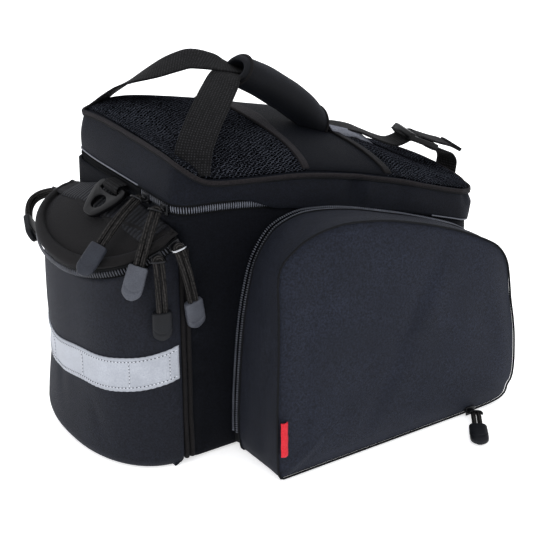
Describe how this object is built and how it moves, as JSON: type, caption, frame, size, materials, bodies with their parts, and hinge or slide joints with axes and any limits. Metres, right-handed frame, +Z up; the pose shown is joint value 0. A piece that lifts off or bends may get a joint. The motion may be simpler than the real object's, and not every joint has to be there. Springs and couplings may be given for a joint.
{
  "type": "bicycle trunk bag",
  "caption": "Rack-top trunk bag of dark nylon with a zipped domed lid, carrying handle, barrel end pocket and a padded pocket on each side.",
  "frame": {"origin": "middle of the main compartment's width on its flat base, near the middle of the bag's length", "axes": "+X towards the front end, away from the barrel pocket; +Y towards the far long side; +Z up"},
  "size_m": [0.4035, 0.4276, 0.3119],
  "materials": {
    "cloth": "matte",
    "mesh": "matte",
    "webbing": "matte",
    "zip": "satin",
    "plastic": "satin",
    "reflector": "satin",
    "pull_cord": "matte",
    "pull_tip": "satin",
    "slider_metal": "satin",
    "label": "matte"
  },
  "bodies": {
    "bag": {"binding_front": "webbing", "binding_rear": "webbing", "body_shell": "cloth", "cord_a": "pull_cord", "cord_b": "pull_cord", "cord_c": "pull_cord", "cord_d": "pull_cord", "cord_e": "pull_cord", "cord_f": "pull_cord", "cord_g": "pull_cord", "d_ring_loop": "webbing", "end_flap": "cloth", "end_piping_far": "webbing", "end_piping_near": "webbing", "end_pocket_shell": "cloth", "end_zip": "zip", "grip_sleeve": "webbing", "hinge_band": "webbing", "label_tab": "label", "ladder_lock": "plastic", "lid_centre_panel": "cloth", "lid_piping": "webbing", "lid_shell": "cloth", "main_zip": "zip", "mesh_front": "mesh", "mesh_rear": "mesh", "reflective_strip": "reflector", "side_gusset_far": "cloth", "side_gusset_near": "cloth", "side_panel_far": "cloth", "side_panel_near": "cloth", "side_piping_far": "webbing", "side_piping_near": "webbing", "side_zip_far": "zip", "side_zip_near": "zip", "slider_a": "slider_metal", "slider_b": "slider_metal", "slider_c": "slider_metal", "slider_d": "slider_metal", "slider_e": "slider_metal", "slider_f": "slider_metal", "slider_g": "slider_metal", "strap_anchor": "webbing", "strap_far": "webbing", "strap_front": "webbing", "strap_near": "webbing", "strap_reflector": "reflector", "strap_tail": "webbing", "tip_a": "pull_tip", "tip_b": "pull_tip", "tip_c": "pull_tip", "tip_d": "pull_tip", "tip_e": "pull_tip", "tip_f": "pull_tip", "tip_g": "pull_tip", "side_base_near": "cloth", "side_base_far": "cloth"},
    "ring": {"d_ring": "plastic"}
  },
  "joints": [
    {"name": "d_ring_hinge", "type": "hinge", "parent": "bag", "child": "ring", "pos_m": [-0.1285, -0.004, 0.2196], "axis": [0, 1, 0], "range_deg": [0, 110]}
  ]
}
